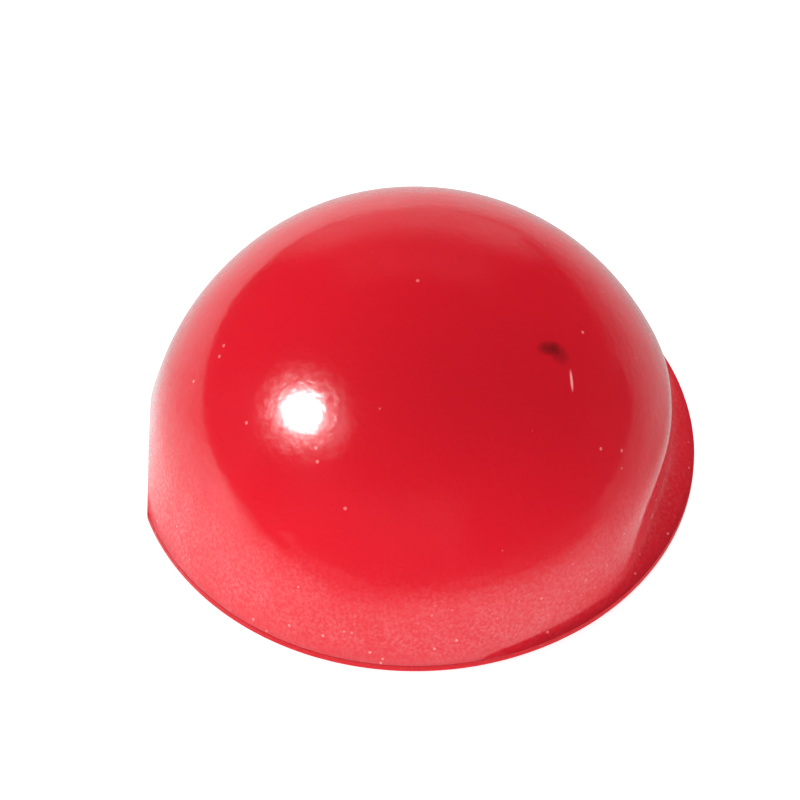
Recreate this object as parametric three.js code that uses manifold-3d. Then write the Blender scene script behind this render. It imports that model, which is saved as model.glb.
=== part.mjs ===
// Case opening friction ball: a half-ball of soft, tacky polyurethane moulded over a thin, firmer
// base disc. It is held in the palm, pressed on a screwed watch case back and twisted.
//
// Millimetres, +Z up. The origin is the centre of the base circle, on the underside. The side
// where the disc is trimmed straight faces -X.

import * as THREE from 'three';
import { mergeVertices } from 'three/addons/utils/BufferGeometryUtils.js';
import Module from 'manifold-3d';

const wasm = await Module();
wasm.setup();

// ---- driving dimensions -------------------------------------------------------------------

const DISC_RADIUS = 35;
const DISC_THICKNESS = 1;
const DISC_EDGE_RADIUS = 0.1;
const TRIM_DISTANCE = 33.08; // from the centre to the straight side
const CORNER_TRIM_DISTANCE = 34.15; // a second, shallower stroke takes the corner off at the back
const CORNER_TRIM_AZIMUTH = 166.5; // degrees from +X towards +Y

const DOME_HEIGHT = 33; // apex above the underside
const DOME_HALF_WIDTH = 34; // horizontal half-axis of the dome's ellipse
const DOME_HALF_HEIGHT = 35.6; // vertical half-axis of the same ellipse

const DRAW_IN_DEPTH = 2.6; // how far the wall draws in above the foot at its deepest, near +X
const DRAW_IN_HEIGHT = 11.5; // height over which it does so

// The foot spreads again to a thin skirt, nearly flush with the disc's rim: partly in a broad
// curve, and for the rest in a hollow that is tight where the wall is plain and wider under the
// draw-in.
const SKIRT_RADIUS = 34.93;
const SKIRT_HEIGHT = 7;
const LIP_HEIGHT = 1.2;
const HOLLOW_HEIGHT = 3.8;
const HOLLOW_POWER = 2.4;
const SKIRT_EASE = 0.1; // rounding of the skirt's lower edge

const BOSS_RADIUS = 18; // the keyed boss that stops the dome from turning on the disc
const BOSS_HEIGHT = 4;
const BOSS_LOBES = 6;
const BOSS_LOBE_DEPTH = 1.5;
const FIT_GAP = 0.3; // clearance between the two pieces

const ROUND_SEGMENTS = 80;
const DOME_RINGS = 24;
const RING_SPACING = 1.7; // above 1 the rings stand closer together near the foot
const EDGE_STEPS = 3;
const BOSS_SEGMENTS = 72;

const RIGHT_ANGLE = Math.PI / 2;
const DOME_UNDERSIDE = DISC_THICKNESS + FIT_GAP;

// Values at a few azimuths, in degrees from +X towards +Y. Between two of them the value eases
// smoothly, and the last runs on to the first.
const DRAW_IN_SHARES = [[-46, 0], [-16, 1], [0, 0.92], [22, 0], [167, 0], [181, 0.22], [205, 0]];
const BROAD_SHARES = [[-135, 1], [-80, 1], [-56, 0.2], [150, 0.2]]; // of the skirt's reach

// ---- materials ----------------------------------------------------------------------------

const softRubber = new THREE.MeshStandardMaterial({ color: 0xc80f18, roughness: 0.18, metalness: 0 });
const firmRubber = new THREE.MeshStandardMaterial({ color: 0xb00d18, roughness: 0.3, metalness: 0 });

// ---- the dome's surface -------------------------------------------------------------------

function ease(t) {
  const clamped = Math.min(Math.max(t, 0), 1);
  return clamped * clamped * (3 - 2 * clamped);
}

// The table's value at an azimuth in radians.
function easedAlong(table, azimuth) {
  const degrees = THREE.MathUtils.radToDeg(azimuth);
  for (let i = 0; i < table.length; i += 1) {
    const [from, fromValue] = table[i];
    const [to, toValue] = table[(i + 1) % table.length];
    const span = THREE.MathUtils.euclideanModulo(to - from, 360);
    const along = THREE.MathUtils.euclideanModulo(degrees - from, 360);
    if (along <= span) {
      return fromValue + (toValue - fromValue) * ease(along / span);
    }
  }
  return table[0][1];
}

// Radius of the plain ellipse at a height.
function plainRadius(height) {
  const centre = DOME_HEIGHT - DOME_HALF_HEIGHT;
  return DOME_HALF_WIDTH * Math.sqrt(Math.max(0, 1 - ((height - centre) / DOME_HALF_HEIGHT) ** 2));
}

// How far the plain wall moves, outwards when positive: inwards above the foot, then out again to
// the skirt.
function wallShift(height, azimuth) {
  const share = easedAlong(DRAW_IN_SHARES, azimuth);
  const broad = easedAlong(BROAD_SHARES, azimuth);
  const drawnIn = (z) => DRAW_IN_DEPTH * share * ease((DRAW_IN_HEIGHT - z) / DRAW_IN_HEIGHT);
  const rise = height - DOME_UNDERSIDE;
  const reach = SKIRT_RADIUS - plainRadius(DOME_UNDERSIDE);
  const skirt = broad * reach * Math.max(0, 1 - rise / SKIRT_HEIGHT) ** 2;
  const hollowHeight = LIP_HEIGHT + (HOLLOW_HEIGHT - LIP_HEIGHT) * share;
  const hollowDepth = (1 - broad) * reach + drawnIn(DOME_UNDERSIDE);
  const hollow = hollowDepth * Math.max(0, 1 - rise / hollowHeight) ** HOLLOW_POWER;
  return skirt + hollow - drawnIn(height);
}

// The profile of the plain dome of revolution, from the axis below to the axis above.
function domeProfile() {
  const centre = DOME_HEIGHT - DOME_HALF_HEIGHT;
  const wallStart = DOME_UNDERSIDE + SKIRT_EASE;
  const startAngle = Math.asin((wallStart - centre) / DOME_HALF_HEIGHT);
  const footRadius = DOME_HALF_WIDTH * Math.cos(startAngle);
  const points = [new THREE.Vector2(0, DOME_UNDERSIDE)];
  for (let i = 0; i < EDGE_STEPS; i += 1) {
    const angle = (i / EDGE_STEPS) * RIGHT_ANGLE;
    points.push(new THREE.Vector2(
      footRadius - SKIRT_EASE + SKIRT_EASE * Math.sin(angle),
      wallStart - SKIRT_EASE * Math.cos(angle),
    ));
  }
  for (let i = 0; i < DOME_RINGS; i += 1) {
    const angle = startAngle + (i / DOME_RINGS) ** RING_SPACING * (RIGHT_ANGLE - startAngle);
    points.push(new THREE.Vector2(
      DOME_HALF_WIDTH * Math.cos(angle),
      centre + DOME_HALF_HEIGHT * Math.sin(angle),
    ));
  }
  points.push(new THREE.Vector2(0, DOME_HEIGHT));
  return points;
}

// ---- helpers ------------------------------------------------------------------------------

// A lathe turned upright, so that its axis is +Z.
function turned(points) {
  return new THREE.LatheGeometry(points, ROUND_SEGMENTS).rotateX(RIGHT_ANGLE);
}

function toSolid(geometry) {
  const bare = geometry.index ? geometry.clone() : mergeVertices(geometry);
  bare.deleteAttribute('normal');
  bare.deleteAttribute('uv');
  const merged = mergeVertices(bare, 1e-5);
  const mesh = new wasm.Mesh({
    numProp: 3,
    vertProperties: new Float32Array(merged.attributes.position.array),
    triVerts: new Uint32Array(merged.index.array),
  });
  mesh.merge();
  return new wasm.Manifold(mesh);
}

function toMesh(solid, name, material) {
  const { vertProperties, triVerts } = solid.getMesh();
  const geometry = new THREE.BufferGeometry();
  geometry.setAttribute('position', new THREE.BufferAttribute(vertProperties, 3));
  geometry.setIndex(new THREE.BufferAttribute(triVerts, 1));
  geometry.computeVertexNormals();
  const mesh = new THREE.Mesh(geometry, material);
  mesh.name = name;
  return mesh;
}

// Everything beyond the straight side of the disc, which was cut in two strokes.
function trimBlocks() {
  const size = 2 * DISC_RADIUS;
  const strokes = [[180, TRIM_DISTANCE], [CORNER_TRIM_AZIMUTH, CORNER_TRIM_DISTANCE]];
  const blocks = strokes.map(([azimuth, distance]) => toSolid(
    new THREE.BoxGeometry(size, size, size)
      .translate(distance + size / 2, 0, 0)
      .rotateZ(THREE.MathUtils.degToRad(azimuth)),
  ));
  return blocks[0].add(blocks[1]);
}

// A round prism with shallow lobes, grown sideways by `grow`.
function lobedPrism(grow, bottom, top) {
  const outline = new THREE.Shape();
  for (let i = 0; i < BOSS_SEGMENTS; i += 1) {
    const angle = (i / BOSS_SEGMENTS) * 2 * Math.PI;
    const radius = BOSS_RADIUS + grow - BOSS_LOBE_DEPTH * (1 - Math.cos(BOSS_LOBES * angle)) / 2;
    const x = radius * Math.cos(angle);
    const y = radius * Math.sin(angle);
    if (i === 0) {
      outline.moveTo(x, y);
    } else {
      outline.lineTo(x, y);
    }
  }
  outline.closePath();
  const prism = new THREE.ExtrudeGeometry(outline, { depth: top - bottom, bevelEnabled: false });
  return toSolid(prism.translate(0, 0, bottom));
}

// ---- the pieces ---------------------------------------------------------------------------

function baseDisc() {
  const points = [new THREE.Vector2(0, 0)];
  for (const [centre, turn] of [[DISC_EDGE_RADIUS, 0], [DISC_THICKNESS - DISC_EDGE_RADIUS, 1]]) {
    for (let i = 0; i <= EDGE_STEPS; i += 1) {
      const angle = (i / EDGE_STEPS + turn - 1) * RIGHT_ANGLE;
      points.push(new THREE.Vector2(
        DISC_RADIUS - DISC_EDGE_RADIUS + DISC_EDGE_RADIUS * Math.cos(angle),
        centre + DISC_EDGE_RADIUS * Math.sin(angle),
      ));
    }
  }
  points.push(new THREE.Vector2(0, DISC_THICKNESS));
  const boss = lobedPrism(0, DISC_THICKNESS / 2, DISC_THICKNESS + BOSS_HEIGHT);
  const solid = toSolid(turned(points)).subtract(trimBlocks()).add(boss);
  return toMesh(solid, 'base_disc', firmRubber);
}

function frictionDome() {
  const geometry = turned(domeProfile());
  const position = geometry.attributes.position;
  for (let i = 0; i < position.count; i += 1) {
    const x = position.getX(i);
    const y = position.getY(i);
    const radius = Math.hypot(x, y);
    if (radius > BOSS_RADIUS) {
      const scale = 1 + wallShift(position.getZ(i), Math.atan2(y, x)) / radius;
      position.setXY(i, x * scale, y * scale);
    }
  }
  const socket = lobedPrism(FIT_GAP, 0, DISC_THICKNESS + BOSS_HEIGHT + FIT_GAP);
  const solid = toSolid(geometry).subtract(trimBlocks()).subtract(socket);
  return toMesh(solid, 'friction_dome', softRubber);
}

const frictionBall = new THREE.Group();
frictionBall.add(baseDisc());
frictionBall.add(frictionDome());

export default frictionBall;
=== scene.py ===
"""Looks of the case opening friction ball: a glossy, slightly translucent red half-ball of soft
rubber on a thin base disc. Metres, in the frame of the CAD model: +Z up, the trimmed side at -X."""
import math

import bmesh
import bpy
import numpy as np
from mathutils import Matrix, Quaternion, Vector, noise


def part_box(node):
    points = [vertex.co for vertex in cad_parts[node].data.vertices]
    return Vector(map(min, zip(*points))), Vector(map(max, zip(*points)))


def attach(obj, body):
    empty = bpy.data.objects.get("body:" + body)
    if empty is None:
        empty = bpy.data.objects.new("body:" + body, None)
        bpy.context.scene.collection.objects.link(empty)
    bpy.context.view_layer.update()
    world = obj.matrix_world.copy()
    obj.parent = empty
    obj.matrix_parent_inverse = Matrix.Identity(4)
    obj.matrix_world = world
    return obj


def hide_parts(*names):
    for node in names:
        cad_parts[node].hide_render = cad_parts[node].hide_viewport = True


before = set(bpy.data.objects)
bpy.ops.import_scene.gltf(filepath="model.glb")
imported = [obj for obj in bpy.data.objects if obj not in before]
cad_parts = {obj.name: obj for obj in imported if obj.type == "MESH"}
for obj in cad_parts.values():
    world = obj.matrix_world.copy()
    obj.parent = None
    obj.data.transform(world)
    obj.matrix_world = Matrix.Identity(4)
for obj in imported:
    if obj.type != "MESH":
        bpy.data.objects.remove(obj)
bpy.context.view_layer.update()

MM = 0.001
RIGHT_ANGLE = math.pi / 2

# ---- sizes, those of the CAD model unless a comment says otherwise ---------------------------

DISC_LOW, DISC_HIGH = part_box("base_disc")
DOME_LOW, DOME_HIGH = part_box("friction_dome")
DISC_RADIUS = (DISC_HIGH.y - DISC_LOW.y) / 2
TRIM_DISTANCE = -DISC_LOW.x
DOME_TOP = DOME_HIGH.z

CORNER_TRIM_DISTANCE = 34.15 * MM
CORNER_TRIM_AZIMUTH = 166.5  # a second, shallower stroke that takes the corner off at the back

DISC_THICKNESS = 1.0 * MM
DISC_EDGE_RADIUS = 0.1 * MM
DISC_TOP_EDGE = 0.03 * MM  # sharper than in the CAD model, where the dome is moulded on
BOSS_RADIUS = 18 * MM
BOSS_LOBES = 6
BOSS_LOBE_DEPTH = 1.5 * MM
BOSS_TOP = DISC_HIGH.z
BOSS_BEVEL = 0.2 * MM  # not in the CAD model
BOND_GAP = 0.006 * MM  # 0.3 mm in the CAD model; the bonded joint shows hardly a hairline
SOCKET_GAP = 0.3 * MM

DOME_HALF_WIDTH = 34 * MM
DOME_HALF_HEIGHT = 35.6 * MM
DOME_CENTRE = DOME_TOP - DOME_HALF_HEIGHT
DOME_UNDERSIDE = DISC_THICKNESS + BOND_GAP

DRAW_IN_DEPTH = 2.6 * MM
DRAW_IN_HEIGHT = 11.5 * MM
# The foot spreads again to a thin skirt, nearly flush with the disc's rim: partly in a broad
# curve, and for the rest in a hollow that is tight where the wall is plain and wider under the
# draw-in.
SKIRT_RADIUS = 34.93 * MM
SKIRT_HEIGHT = 7 * MM
LIP_HEIGHT = 1.2 * MM
HOLLOW_HEIGHT = 3.8 * MM
HOLLOW_POWER = 2.4
SKIRT_EASE = 0.02 * MM  # finer than in the CAD model
# Shares at azimuths in degrees from +X towards +Y; between two of them the share eases over
DRAW_IN_SHARES = [
    (-46, 0), (-16, 1), (0, 0.92), (22, 0), (167, 0), (181, 0.22), (205, 0), (314, 0)]
BROAD_SHARES = [(-135, 1), (-80, 1), (-56, 0.2), (150, 0.2), (225, 1)]  # of the skirt's reach

# ---- how fine the mesh is, and unevenness that the CAD model does not have -------------------

AROUND = 480  # points round each ring
WALL_RINGS = 200
RING_SPACING = 1.35  # above 1 the rings stand closer together near the foot
EDGE_STEPS = 6
UNDERSIDE_RINGS = (0.85, 0.97)  # shares of the way from the socket to the dome's foot
DISC_RINGS = (0.5, 0.9, 0.98)  # shares of the way from the axis to the disc's rim
DOME_SHARP_ANGLE, DISC_SHARP_ANGLE = 50, 40  # degrees; steeper edges stay sharp

WAVE_HEIGHT = 0.035 * MM  # long, shallow waves left by the mould
WAVE_LENGTH = 17 * MM
FINE_WAVE_HEIGHT, FINE_WAVE_LENGTH = 0.5, 0.4  # shares of the long ones
WAVE_FADE = 4 * MM  # height over the disc below which the waves die out
EDGE_WANDER = 0.04 * MM  # the disc's rim is not quite round
WANDER_CIRCLE, WANDER_LEVEL = 3, 5  # the circle through the noise that the rim follows


# ---- small helpers ---------------------------------------------------------------------------

def ease(t):
    t = np.clip(t, 0, 1)
    return t * t * (3 - 2 * t)


def direction(azimuth, elevation):
    """Unit vector at an azimuth from +X towards +Y and an elevation, both in degrees."""
    a, e = math.radians(azimuth), math.radians(elevation)
    return Vector((math.cos(e) * math.cos(a), math.cos(e) * math.sin(a), math.sin(e)))


def eased_along(table, azimuth):
    """The table's value at each azimuth of an array, in radians."""
    degrees = np.degrees(azimuth)
    value = np.zeros_like(degrees)
    for (start, low), (end, high) in zip(table, table[1:]):
        along = (degrees - start) % 360
        inside = along <= end - start
        value[inside] = low + (high - low) * ease(along[inside] / (end - start))
    return value


def lobed_radius(azimuth, grow):
    return BOSS_RADIUS + grow - BOSS_LOBE_DEPTH * (1 - np.cos(BOSS_LOBES * azimuth)) / 2


def ring_mesh(name, rings, azimuth):
    """A closed mesh from rings of (radius, height), each closed to the axis at both ends.
    A radius is a number, or an array with one value for each azimuth."""
    count = len(azimuth)
    corners = []
    for radius, height in rings:
        r = np.broadcast_to(radius, count)
        z = np.broadcast_to(height, count)
        corners.append(np.stack([r * np.cos(azimuth), r * np.sin(azimuth), z], axis=1))
    points = np.concatenate(corners)
    bottom, top = len(points), len(points) + 1
    points = np.vstack([points, [0, 0, np.mean(rings[0][1])], [0, 0, np.mean(rings[-1][1])]])
    faces = []
    for ring in range(len(rings) - 1):
        for i in range(count):
            j = (i + 1) % count
            low, high = ring * count, (ring + 1) * count
            faces.append((low + i, low + j, high + j, high + i))
    last = (len(rings) - 1) * count
    for i in range(count):
        j = (i + 1) % count
        faces.append((bottom, j, i))
        faces.append((top, last + i, last + j))
    mesh = bpy.data.meshes.new(name)
    mesh.from_pydata([tuple(p) for p in points], [], faces)
    mesh.update()
    piece = bpy.data.objects.new(name, mesh)
    bpy.context.scene.collection.objects.link(piece)
    return piece


def trim_straight(piece):
    """Cuts the piece along the straight side in two strokes and closes each cut."""
    bm = bmesh.new()
    bm.from_mesh(piece.data)
    for azimuth, distance in ((180, TRIM_DISTANCE), (CORNER_TRIM_AZIMUTH, CORNER_TRIM_DISTANCE)):
        outward = direction(azimuth, 0)
        everything = bm.verts[:] + bm.edges[:] + bm.faces[:]
        cut = bmesh.ops.bisect_plane(
            bm, geom=everything, plane_co=outward * distance, plane_no=outward, clear_outer=True)
        rim = [e for e in cut["geom_cut"] if isinstance(e, bmesh.types.BMEdge)]
        bmesh.ops.holes_fill(bm, edges=rim, sides=0)
    bmesh.ops.triangulate(bm, faces=[f for f in bm.faces if len(f.verts) > 4])
    bmesh.ops.recalc_face_normals(bm, faces=bm.faces[:])
    bm.to_mesh(piece.data)
    bm.free()


def shade_smooth(piece, angle):
    for polygon in piece.data.polygons:
        polygon.use_smooth = True
    piece.data.set_sharp_from_angle(angle=math.radians(angle))


# ---- the dome --------------------------------------------------------------------------------

def surface_point(azimuth, elevation):
    """Where a ray from the origin leaves the plain dome; both angles in degrees."""
    ray = direction(azimuth, elevation)
    stretch = (DOME_HALF_WIDTH / DOME_HALF_HEIGHT) ** 2
    a = ray.xy.length_squared + stretch * ray.z ** 2
    b = stretch * ray.z * DOME_CENTRE
    c = stretch * DOME_CENTRE ** 2 - DOME_HALF_WIDTH ** 2
    return ray * ((b + math.sqrt(b * b - a * c)) / a)


# A small dark flaw some way down from the top on the right, and its faint tail
PIT_ENDS = surface_point(-28, 59.4), surface_point(-20.8, 55.4)
TAIL_ENDS = surface_point(-24.4, 57.5), surface_point(-22.5, 52.5)
# A pale fibre caught in the skin
FIBRE_ENDS = surface_point(-25.4, 51.1), surface_point(-30.8, 48.0)
PIT_HALF_WIDTH, TAIL_HALF_WIDTH, FIBRE_HALF_WIDTH = 0.85 * MM, 1.2 * MM, 0.2 * MM
SPECK_RADIUS, SPECK_CORE_RADIUS = 0.26 * MM, 0.14 * MM
SPECKS = [surface_point(*place) for place in (
    (-75, 88), (-8.3, 51.5), (-170, 43), (-172.5, 44.7), (-170, 34), (-34.5, 34.5), (-29, 30),
    (-145, 41.5), (-121, 46), (-119, 43.5), (-108, 36))]
# The pit and two shallow dents with a low bump between them: centre, depth, radius
DENTS = [
    ((PIT_ENDS[0] + PIT_ENDS[1]) / 2, 0.15 * MM, 0.9 * MM),
    (surface_point(-126, 26.5), 0.05 * MM, 1.1 * MM),
    (surface_point(-120.5, 24.5), 0.06 * MM, 1.2 * MM),
    (surface_point(-123, 23), -0.04 * MM, 0.9 * MM),
]


def plain_radius(height):
    """Radius of the plain ellipse at a height."""
    rise = (height - DOME_CENTRE) / DOME_HALF_HEIGHT
    return DOME_HALF_WIDTH * np.sqrt(np.maximum(0, 1 - rise ** 2))


def wall_radius(height, azimuth):
    """Radius of the outside with its draw-in, skirt and hollow, at one height all round."""
    share = eased_along(DRAW_IN_SHARES, azimuth)

    def drawn_in(z):
        return DRAW_IN_DEPTH * share * ease((DRAW_IN_HEIGHT - z) / DRAW_IN_HEIGHT)

    rise = height - DOME_UNDERSIDE
    reach = SKIRT_RADIUS - plain_radius(DOME_UNDERSIDE)
    broad = eased_along(BROAD_SHARES, azimuth)
    skirt = broad * reach * max(0, 1 - rise / SKIRT_HEIGHT) ** 2
    hollow_height = LIP_HEIGHT + (HOLLOW_HEIGHT - LIP_HEIGHT) * share
    hollow = (1 - broad) * reach + drawn_in(DOME_UNDERSIDE)
    hollow = hollow * np.maximum(0, 1 - rise / hollow_height) ** HOLLOW_POWER
    return plain_radius(height) - drawn_in(height) + skirt + hollow


def dome_rings(azimuth):
    """From the roof of the socket down and out along the underside, then up the outside."""
    socket_top = BOSS_TOP + SOCKET_GAP
    socket = lobed_radius(azimuth, SOCKET_GAP)
    rings = [(socket, socket_top), (socket, DOME_UNDERSIDE)]
    foot = wall_radius(DOME_UNDERSIDE + SKIRT_EASE, azimuth)
    for share in UNDERSIDE_RINGS:
        rings.append((socket + share * (foot - socket), DOME_UNDERSIDE))
    for step in range(EDGE_STEPS):
        angle = step / EDGE_STEPS * RIGHT_ANGLE
        rings.append((
            foot - SKIRT_EASE + SKIRT_EASE * math.sin(angle),
            DOME_UNDERSIDE + SKIRT_EASE * (1 - math.cos(angle)),
        ))
    start = math.asin((DOME_UNDERSIDE + SKIRT_EASE - DOME_CENTRE) / DOME_HALF_HEIGHT)
    for step in range(WALL_RINGS):
        angle = start + (step / WALL_RINGS) ** RING_SPACING * (RIGHT_ANGLE - start)
        height = DOME_CENTRE + DOME_HALF_HEIGHT * math.sin(angle)
        rings.append((wall_radius(height, azimuth), height))
    return rings


def dent_dome(piece):
    """Moves the outside by the mould's long waves and by the dents."""
    for vertex in piece.data.vertices:
        place = vertex.co
        underneath = place.z <= DOME_UNDERSIDE + SKIRT_EASE
        in_socket = place.xy.length < BOSS_RADIUS and place.z < 0.5 * DOME_TOP
        if underneath or in_socket:
            continue
        outward = place.normalized()
        fine_wave = noise.noise(place / (FINE_WAVE_LENGTH * WAVE_LENGTH))
        wave = noise.noise(place / WAVE_LENGTH) + FINE_WAVE_HEIGHT * fine_wave
        shift = WAVE_HEIGHT * wave * ease((place.z - DISC_THICKNESS) / WAVE_FADE)
        for centre, depth, radius in DENTS:
            shift -= depth * math.exp(-((place - centre).length / radius) ** 2)
        vertex.co = place + outward * float(shift)


def make_dome():
    azimuth = np.linspace(0, 2 * math.pi, AROUND, endpoint=False)
    piece = ring_mesh("soft_dome", dome_rings(azimuth), azimuth)
    dent_dome(piece)
    trim_straight(piece)
    shade_smooth(piece, DOME_SHARP_ANGLE)
    return piece


# ---- the base disc ---------------------------------------------------------------------------

def disc_rings(azimuth):
    """From the underside out, round the rim, in along the top and up the keyed boss."""
    circle = WANDER_CIRCLE * np.stack([np.cos(azimuth), np.sin(azimuth)], axis=1)
    wander = np.array([noise.noise(Vector((x, y, WANDER_LEVEL))) for x, y in circle])
    rim = DISC_RADIUS - EDGE_WANDER * (0.5 + 0.5 * wander)
    boss = lobed_radius(azimuth, 0)
    rings = [(share * rim, 0) for share in DISC_RINGS]
    lower_edge = (DISC_EDGE_RADIUS, DISC_EDGE_RADIUS, -1)
    upper_edge = (DISC_TOP_EDGE, DISC_THICKNESS - DISC_TOP_EDGE, 0)
    for radius, middle, quarter in (lower_edge, upper_edge):
        for step in range(EDGE_STEPS + 1):
            angle = (step / EDGE_STEPS + quarter) * RIGHT_ANGLE
            rings.append((
                rim - radius + radius * math.cos(angle),
                middle + radius * math.sin(angle),
            ))
    rings += [
        (DISC_RINGS[-1] * rim, DISC_THICKNESS),
        (boss, DISC_THICKNESS),
        (boss, BOSS_TOP - BOSS_BEVEL),
        (boss - BOSS_BEVEL, BOSS_TOP),
    ]
    return rings


def make_disc():
    azimuth = np.linspace(0, 2 * math.pi, AROUND, endpoint=False)
    piece = ring_mesh("rim_disc", disc_rings(azimuth), azimuth)
    trim_straight(piece)
    shade_smooth(piece, DISC_SHARP_ANGLE)
    return piece


# ---- materials -------------------------------------------------------------------------------

SOFT_RED = (0.58, 0.0088, 0.0195, 1)
FIRM_RED = (0.45, 0.007, 0.014, 1)
BLOOM_PINK = (0.8, 0.3, 0.32, 1)
DUST_PINK = (0.9, 0.35, 0.35, 1)
PIT_BROWN = (0.07, 0.006, 0.006, 1)
CLOUD_DARKNESS = 0.9  # the darker clouds' share of the colour

# Scales of the noises and of the dust cells: roughly how many there are in a metre
CLOUD_SCALE = 55.0
MARK_EDGE_SCALE = 1500.0
GRAIN_SCALE = 2200.0
MOTTLE_SCALE = 300.0
PEEL_SCALE = 1000.0
DUST_SCALE = 260.0
FINE_DUST_SCALE = 620.0
FINE_DUST_PATCH_SCALE = 180.0

BLOOM_TOP, BLOOM_FULL = 15 * MM, 4 * MM  # heights between which the bloom sets in
BLOOM_REST = 3.5 * MM  # height from which it thins out again towards the disc
FINE_DUST_TOP, FINE_DUST_FULL = 11 * MM, 3 * MM

# The foot on the right has hardly any outer gloss: heights and X between which it goes
DULL_TOP, DULL_FULL = 7 * MM, 3 * MM
DULL_START, DULL_END = 13 * MM, 24 * MM
DULL_COAT = 0.12
DULL_ROUGHNESS = 0.45

PEEL_DISTANCE = 0.2 * MM
PEEL_STRENGTH, OUTER_PEEL_STRENGTH = 0.3, 0.015


def node_maker(material):
    nodes, links = material.node_tree.nodes, material.node_tree.links

    def make(kind, inputs=None, **settings):
        node = nodes.new(kind)
        for key, value in settings.items():
            setattr(node, key, value)
        for key, value in (inputs or {}).items():
            if isinstance(value, bpy.types.NodeSocket):
                links.new(value, node.inputs[key])
            else:
                node.inputs[key].default_value = value
        return node

    return make


def number(make, operation, *values):
    """A math node on numbers."""
    return make("ShaderNodeMath", dict(enumerate(values)), operation=operation).outputs[0]


def measure(make, operation, *vectors):
    """A math node on vectors that gives a number."""
    node = make("ShaderNodeVectorMath", dict(enumerate(vectors)), operation=operation)
    return node.outputs["Value"]


def object_place(make):
    return make("ShaderNodeTexCoord").outputs["Object"]


def split(make, place):
    return make("ShaderNodeSeparateXYZ", {"Vector": place}).outputs


def fade(make, value, start, end):
    """From one pair of position and result to another, and level beyond both."""
    return make("ShaderNodeMapRange", {
        "Value": value,
        "From Min": start[0],
        "From Max": end[0],
        "To Min": start[1],
        "To Max": end[1],
    }).outputs[0]


def layer(make, share, under, over):
    return make("ShaderNodeMix", {0: share, 6: under, 7: over}, data_type="RGBA").outputs[2]


def noise_value(make, place, scale, detail, roughness=0.5):
    return make("ShaderNodeTexNoise", {
        "Vector": place, "Scale": scale, "Detail": detail, "Roughness": roughness}).outputs["Fac"]


def cell_distance(make, place, scale):
    return make("ShaderNodeTexVoronoi", {
        "Vector": place, "Scale": scale, "Randomness": 1.0}).outputs["Distance"]


def oval(make, place, ends, half_width):
    """Square of the distance from an oval mark's middle, 1 at its border."""
    middle = (ends[0] + ends[1]) / 2
    along = (ends[1] - ends[0]).normalized()
    half_length = (ends[1] - ends[0]).length / 2
    offset = make("ShaderNodeVectorMath", {0: place, 1: middle}, operation="SUBTRACT").outputs[0]
    run = measure(make, "DOT_PRODUCT", offset, along)
    run_square = number(make, "MULTIPLY", run, run)
    square = measure(make, "DOT_PRODUCT", offset, offset)
    across = number(make, "MULTIPLY", square, half_width ** -2)
    slimmer = half_length ** -2 - half_width ** -2
    return number(make, "MULTIPLY_ADD", run_square, slimmer, across)


def dome_marks(make, place, colour):
    """The dark flaw with its tail, the pale fibre and the larger dust specks."""
    ragged = noise_value(make, place, MARK_EDGE_SCALE, 3.0)
    tail = number(make, "ADD", oval(make, place, TAIL_ENDS, TAIL_HALF_WIDTH), ragged)
    colour = layer(make, fade(make, tail, (1.9, 0), (0.3, 0.5)), colour, PIT_BROWN)
    pit = number(make, "ADD", oval(make, place, PIT_ENDS, PIT_HALF_WIDTH), ragged)
    colour = layer(make, fade(make, pit, (2.0, 0), (0.6, 0.6)), colour, PIT_BROWN)
    fibre = oval(make, place, FIBRE_ENDS, FIBRE_HALF_WIDTH)
    colour = layer(make, fade(make, fibre, (1.3, 0), (0.3, 0.9)), colour, DUST_PINK)
    for speck in SPECKS:
        away = measure(make, "DISTANCE", place, speck)
        share = fade(make, away, (SPECK_RADIUS, 0), (SPECK_CORE_RADIUS, 0.5))
        colour = layer(make, share, colour, DUST_PINK)
    return colour


def rubber_colour(make, place, colour, grain, mottle):
    """Red with faint clouds, a fine pale bloom near the foot and specks of dust."""
    deep = tuple(CLOUD_DARKNESS * c for c in colour[:3]) + (1,)
    body = layer(make, noise_value(make, place, CLOUD_SCALE, 3.0), deep, colour)

    height = split(make, place)["Z"]
    from_above = fade(make, height, (BLOOM_TOP, 0), (BLOOM_FULL, 1))
    from_below = fade(make, height, (DISC_THICKNESS, 0.25), (BLOOM_REST, 1))
    low = number(make, "MINIMUM", from_above, from_below)
    fine = fade(make, grain, (0.42, 0), (0.72, 0.2))
    patchy = fade(make, mottle, (0.3, 0.5), (0.7, 1))
    bloom = number(make, "MULTIPLY", low, number(make, "MULTIPLY", fine, patchy))
    body = layer(make, bloom, body, BLOOM_PINK)

    dust = fade(make, cell_distance(make, place, DUST_SCALE), (0.045, 0), (0.02, 0.4))
    body = layer(make, dust, body, DUST_PINK)
    fine_dust = fade(make, cell_distance(make, place, FINE_DUST_SCALE), (0.13, 0), (0.07, 0.6))
    settled = fade(make, height, (FINE_DUST_TOP, 0), (FINE_DUST_FULL, 1))
    patches = noise_value(make, place, FINE_DUST_PATCH_SCALE, 1.0)
    fine_dust = number(make, "MULTIPLY", fine_dust, settled)
    fine_dust = number(make, "MULTIPLY", fine_dust, fade(make, patches, (0.4, 0), (0.55, 1)))
    return layer(make, fine_dust, body, DUST_PINK)


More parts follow.
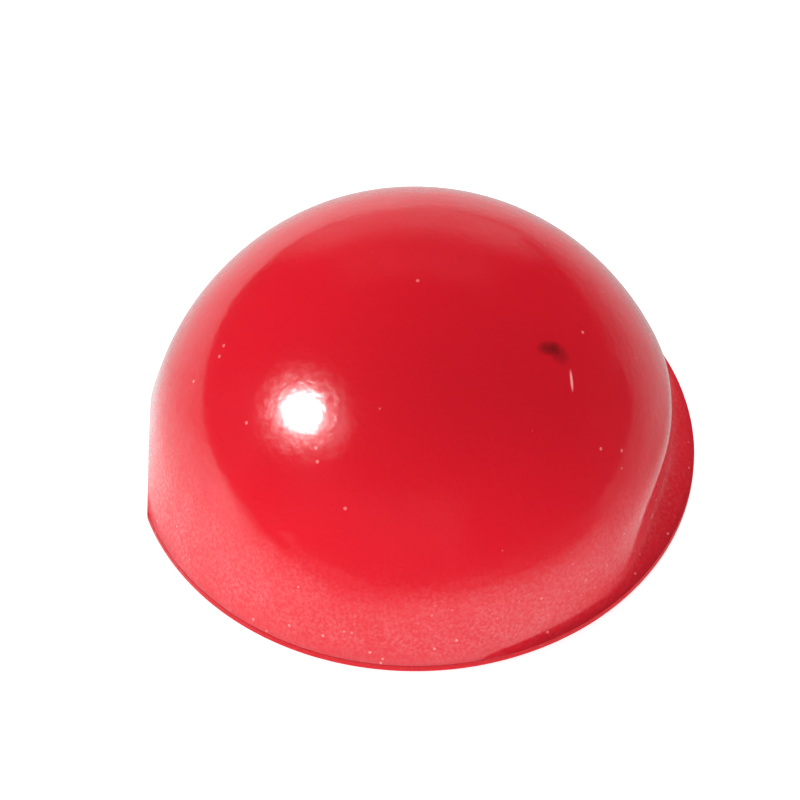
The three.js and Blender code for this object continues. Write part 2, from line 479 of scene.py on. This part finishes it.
def rubber(name, colour, coat, roughness, specular, marks=None):
    """Glossy cast rubber with an orange-peel skin, under an outer gloss that is itself finely
    uneven and hardly there on the foot at the right."""
    material = bpy.data.materials.new(name)
    material.use_nodes = True
    shader = material.node_tree.nodes["Principled BSDF"]
    links = material.node_tree.links
    make = node_maker(material)
    place = object_place(make)
    grain = noise_value(make, place, GRAIN_SCALE, 3.0, 0.65)
    mottle = noise_value(make, place, MOTTLE_SCALE, 3.0)

    body = rubber_colour(make, place, colour, grain, mottle)
    if marks:
        body = marks(make, place, body)
    links.new(body, shader.inputs["Base Color"])

    xyz = split(make, place)
    dull = number(
        make, "MULTIPLY",
        fade(make, xyz["Z"], (DULL_TOP, 0), (DULL_FULL, 1)),
        fade(make, xyz["X"], (DULL_START, 0), (DULL_END, 1)))
    fine = fade(make, grain, (0.35, 0.7), (0.65, 1.15))
    patchy = fade(make, mottle, (0.3, 0.85), (0.7, 1.1))
    gloss = number(make, "MULTIPLY", number(make, "MULTIPLY", fine, patchy), coat)
    gloss = number(make, "MULTIPLY", gloss, fade(make, dull, (0, 1), (1, DULL_COAT)))
    links.new(gloss, shader.inputs["Coat Weight"])
    matt = fade(make, dull, (0, roughness), (1, DULL_ROUGHNESS))
    links.new(matt, shader.inputs["Roughness"])

    peel = noise_value(make, place, PEEL_SCALE, 1.5)
    for socket, strength in (("Normal", PEEL_STRENGTH), ("Coat Normal", OUTER_PEEL_STRENGTH)):
        skin = make("ShaderNodeBump", {
            "Height": peel, "Strength": strength, "Distance": PEEL_DISTANCE})
        links.new(skin.outputs["Normal"], shader.inputs[socket])

    shader.inputs["IOR"].default_value = 1.5
    shader.inputs["Specular IOR Level"].default_value = specular
    shader.inputs["Coat Roughness"].default_value = 0.1
    shader.inputs["Coat IOR"].default_value = 1.5
    shader.inputs["Subsurface Weight"].default_value = 0.3
    shader.inputs["Subsurface Radius"].default_value = (1.0, 0.15, 0.12)
    shader.inputs["Subsurface Scale"].default_value = 3 * MM
    return material


# ---- studio ----------------------------------------------------------------------------------

CAMERA_ELEVATION = 50.15
CAMERA_DISTANCE = 18 * DISC_RADIUS
SENSOR_WIDTH = 36  # millimetres
LENS = 226.2  # millimetres
# Where the camera aims, from the origin, across and up its own view
AIM_LEFT = 0.053 * DISC_RADIUS
AIM_UP = 0.1767 * DISC_RADIUS

FLOOR_HALF_SIZE = 3.0
FLOOR_DROP = 0.02 * MM  # below the disc, so that their faces do not coincide
FLOOR_WHITE = (0.9, 0.9, 0.9, 1)
FLOOR_GLOW = 0.5  # keeps the shadow round the foot pale

# The white card on the floor round the object, which is what shows in its gloss
CARD_CORNERS = [
    (-0.25, -0.25), (-0.09, -0.19), (-0.03, -0.118), (0, -0.112), (0.045, -0.16), (0.09, -0.115),
    (0.14, -0.11), (0.14, 0.05), (0.5, 0.3), (1.2, 1.2), (1.2, 1.6), (-0.25, 1.6)]
CARD_STEP = 0.05 * MM  # above the disc's underside
CARD_LEFT, CARD_RIGHT = (-0.03, 1.15), (0.14, 0.35)  # X and the share of the glow there
CARD_FRONT, CARD_NEAR, CARD_BACK = (-0.09, 0.33), (-0.035, 1.6), (0.02, 0.6)  # Y and the glow
# Brighter and dimmer places on the card: place, radius, change
CARD_SPOTS = [
    ((0.022, -0.055), 0.045, 0.5),
    ((0.085, -0.045), 0.065, -0.8),
    ((-0.03, -0.07), 0.04, -0.2),
    ((0.043, 0), 0.02, -0.25),
]

# An upright card at the far end of the first one
BACKDROP_DISTANCE = 1.6
BACKDROP_HALF_WIDTH = BACKDROP_DISTANCE * math.tan(math.radians(32))
BACKDROP_TOP = BACKDROP_DISTANCE * math.tan(math.radians(27.7))
BACKDROP_GLOW = 0.4  # fading to nothing over its upper half
BACKDROP_DROOP = 0.08  # how much lower it reaches for each metre to the side

# A low card that joins the two on the right, fading upwards
SIDE_ENDS = (1.2, 0.6), (0.6, 1.5)
SIDE_HEIGHT = 0.12
SIDE_GLOW = 0.14

# The small lamp that makes the glint
KEY_AZIMUTH, KEY_ELEVATION, KEY_DISTANCE = -164.1, 39.55, 0.9
GLINT_SIZE = (0.279, 0.195)
GLINT_ROLL = 29.3  # degrees about the lamp's own axis; it makes the glint look round
GLINT_POWER = 9.5

# A card behind the lamp that glows softly round it. It is stretched like the lamp, and the radii
# are those before that.
HALO_SIDES = 20
HALO_RADIUS, HALO_FULL_RADIUS = 0.38, 0.16
HALO_GLOW = 3.9
HALO_PATCH_SCALE = 21.0
HALO_WANDER = 0.04  # by which the patches move its edge
RIM_RADIUS, RIM_FULL_RADIUS = 0.182, 0.1  # the brighter rim that softens the lamp's own edge
RIM_GLOW = 13.0
HALO_SETBACK = 1.01  # how far away the card is, in lamp distances

ROOM = (0.28, 0.28, 0.28, 1)
# name, azimuth, elevation, distance, (width, height), watts
SOFT_LIGHTS = [
    ("front_fill", -90, 18, 0.8, (0.6, 0.4), 4.3),
    ("front_left", -130, 18, 0.8, (0.5, 0.4), 2.1),
    ("left_low", 180, 14, 0.8, (0.5, 0.3), 2.6),
    ("right_low", 10, 8, 0.8, (0.5, 0.3), 0.8),
    ("back_fill", 90, 35, 0.9, (0.8, 0.5), 10.5),
]


def add_camera():
    towards = direction(-90, CAMERA_ELEVATION)
    across = Vector((1, 0, 0))
    upwards = towards.cross(across)
    place = towards * CAMERA_DISTANCE
    aim = upwards * AIM_UP - across * AIM_LEFT
    data = bpy.data.cameras.new("camera")
    data.lens = LENS
    data.sensor_width = SENSOR_WIDTH
    data.clip_start = 0.01
    camera = bpy.data.objects.new("camera", data)
    camera.location = place
    camera.rotation_euler = (aim - place).to_track_quat("-Z", "Y").to_euler()
    bpy.context.scene.collection.objects.link(camera)
    bpy.context.scene.camera = camera


def add_light(name, azimuth, elevation, distance, size, power):
    """A soft area light that faces the object, kept out of its reflections. The size is the
    width and the height."""
    data = bpy.data.lights.new(name, "AREA")
    data.shape = "RECTANGLE"
    data.size, data.size_y = size
    data.energy = power
    light = bpy.data.objects.new(name, data)
    light.location = direction(azimuth, elevation) * distance
    light.rotation_euler = (-light.location).to_track_quat("-Z", "Y").to_euler()
    light.visible_glossy = False
    light.visible_camera = False
    bpy.context.scene.collection.objects.link(light)
    return light


def floor_material():
    material = bpy.data.materials.new("studio_white")
    material.use_nodes = True
    shader = material.node_tree.nodes["Principled BSDF"]
    shader.inputs["Base Color"].default_value = FLOOR_WHITE
    shader.inputs["Roughness"].default_value = 0.9
    shader.inputs["Specular IOR Level"].default_value = 0.1
    shader.inputs["Emission Color"].default_value = (1, 1, 1, 1)
    shader.inputs["Emission Strength"].default_value = FLOOR_GLOW
    return material


def glow_material(name, strength):
    """A glowing card; strength is a function that makes the socket for its strength."""
    material = bpy.data.materials.new(name)
    material.use_nodes = True
    nodes, links = material.node_tree.nodes, material.node_tree.links
    nodes.remove(nodes["Principled BSDF"])
    make = node_maker(material)
    glow = make("ShaderNodeEmission", {"Strength": strength(make)})
    links.new(glow.outputs[0], nodes["Material Output"].inputs["Surface"])
    return material


def card_strength(make):
    """Brightest in front of the object and to its left, dimmer on the right and behind."""
    place = object_place(make)
    xyz = split(make, place)
    across = fade(make, xyz["X"], CARD_LEFT, CARD_RIGHT)
    front = fade(make, xyz["Y"], CARD_FRONT, CARD_NEAR)
    back = fade(make, xyz["Y"], CARD_NEAR, CARD_BACK)
    strength = number(make, "MULTIPLY", across, number(make, "MINIMUM", front, back))
    for centre, radius, change in CARD_SPOTS:
        away = measure(make, "DISTANCE", place, (*centre, CARD_STEP))
        strength = number(make, "ADD", strength, fade(make, away, (radius, 0), (0, change)))
    return number(make, "MAXIMUM", strength, 0.0)


def backdrop_strength(make):
    """Fades over its upper half, which reaches less high at the sides, and softly sideways."""
    xyz = split(make, object_place(make))
    side = number(make, "ABSOLUTE", xyz["X"])
    height = number(make, "MULTIPLY_ADD", side, BACKDROP_DROOP, xyz["Z"])
    upwards = fade(make, height, (BACKDROP_TOP, 0), (0.5 * BACKDROP_TOP, BACKDROP_GLOW))
    sideways = fade(make, side, (BACKDROP_HALF_WIDTH, 0), (0.6 * BACKDROP_HALF_WIDTH, 1))
    return number(make, "MULTIPLY", upwards, sideways)


def side_strength(make):
    height = split(make, object_place(make))["Z"]
    return fade(make, height, (SIDE_HEIGHT, 0), (0, SIDE_GLOW))


def halo_strength(make):
    """A patchy glow that fades outwards round the lamp, and a bright rim next to it."""
    place = object_place(make)
    away = measure(make, "LENGTH", place)
    patches = noise_value(make, place, HALO_PATCH_SCALE, 3.0, 0.65)
    wander = fade(make, patches, (0.4, HALO_WANDER), (0.6, -HALO_WANDER))
    ring = number(make, "ADD", away, wander)
    share = fade(make, ring, (HALO_RADIUS, 0), (HALO_FULL_RADIUS, 1))
    patchy = fade(make, patches, (0.43, 0.2 * HALO_GLOW), (0.58, 1.9 * HALO_GLOW))
    halo = number(make, "MULTIPLY", number(make, "MULTIPLY", share, share), patchy)
    rim = fade(make, away, (RIM_RADIUS, 0), (RIM_FULL_RADIUS, RIM_GLOW))
    return number(make, "ADD", halo, rim)


def add_panel(name, corners, material):
    mesh = bpy.data.meshes.new(name)
    mesh.from_pydata(corners, [], [tuple(range(len(corners)))])
    panel = bpy.data.objects.new(name, mesh)
    panel.data.materials.append(material)
    bpy.context.scene.collection.objects.link(panel)
    return panel


def add_card(name, corners, material):
    """A card that shows only in the gloss of the object."""
    card = add_panel(name, corners, material)
    card.visible_camera = False
    card.visible_diffuse = False
    card.visible_shadow = False
    card.visible_transmission = False
    return card


def standing(ends, height):
    """Corners of an upright card over the line between two points on the floor."""
    (x0, y0), (x1, y1) = ends
    return [(x0, y0, 0), (x1, y1, 0), (x1, y1, height), (x0, y0, height)]


def add_cards():
    around = ((-1, -1), (1, -1), (1, 1), (-1, 1))
    corners = [(x * FLOOR_HALF_SIZE, y * FLOOR_HALF_SIZE, -FLOOR_DROP) for x, y in around]
    floor = add_panel("floor", corners, floor_material())
    floor.visible_glossy = False
    corners = [(x, y, CARD_STEP) for x, y in CARD_CORNERS]
    add_card("card", corners, glow_material("card_glow", card_strength))
    ends = (-BACKDROP_HALF_WIDTH, BACKDROP_DISTANCE), (BACKDROP_HALF_WIDTH, BACKDROP_DISTANCE)
    corners = standing(ends, BACKDROP_TOP)
    add_card("backdrop", corners, glow_material("backdrop_glow", backdrop_strength))
    corners = standing(SIDE_ENDS, SIDE_HEIGHT)
    add_card("side_sweep", corners, glow_material("side_glow", side_strength))


def add_lights():
    for name, azimuth, elevation, distance, size, power in SOFT_LIGHTS:
        add_light(name, azimuth, elevation, distance, size, power)
    flash = add_light(
        "key_glint", KEY_AZIMUTH, KEY_ELEVATION, KEY_DISTANCE, GLINT_SIZE, GLINT_POWER)
    flash.data.shape = "ELLIPSE"
    flash.visible_glossy = True
    flash.visible_diffuse = False
    roll = Quaternion((0, 0, 1), math.radians(GLINT_ROLL))
    flash.rotation_euler = (flash.rotation_euler.to_quaternion() @ roll).to_euler()

    turns = [2 * math.pi * i / HALO_SIDES for i in range(HALO_SIDES)]
    corners = [(HALO_RADIUS * math.cos(a), HALO_RADIUS * math.sin(a), 0) for a in turns]
    halo = add_card("halo", corners, glow_material("halo_glow", halo_strength))
    halo.location = HALO_SETBACK * flash.location
    halo.rotation_euler = flash.rotation_euler
    mean_size = sum(GLINT_SIZE) / 2
    halo.scale = (GLINT_SIZE[0] / mean_size, GLINT_SIZE[1] / mean_size, 1)


def set_room():
    world = bpy.data.worlds.new("room")
    bpy.context.scene.world = world
    world.use_nodes = True
    world.node_tree.nodes["Background"].inputs["Color"].default_value = ROOM
    world.cycles_visibility.glossy = False
    bpy.context.scene.view_settings.view_transform = "Standard"


# ---- putting it together ---------------------------------------------------------------------

def wear(piece, material, node):
    piece.data.materials.append(material)
    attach(piece, "root")
    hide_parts(node)


dome = make_dome()
disc = make_disc()
soft = rubber(
    "soft_rubber_gloss", SOFT_RED, coat=0.88, roughness=0.17, specular=0.13, marks=dome_marks)
firm = rubber("firm_rubber_satin", FIRM_RED, coat=0.02, roughness=0.4, specular=0.05)
wear(dome, soft, "friction_dome")
wear(disc, firm, "base_disc")
add_camera()
add_cards()
add_lights()
set_room()
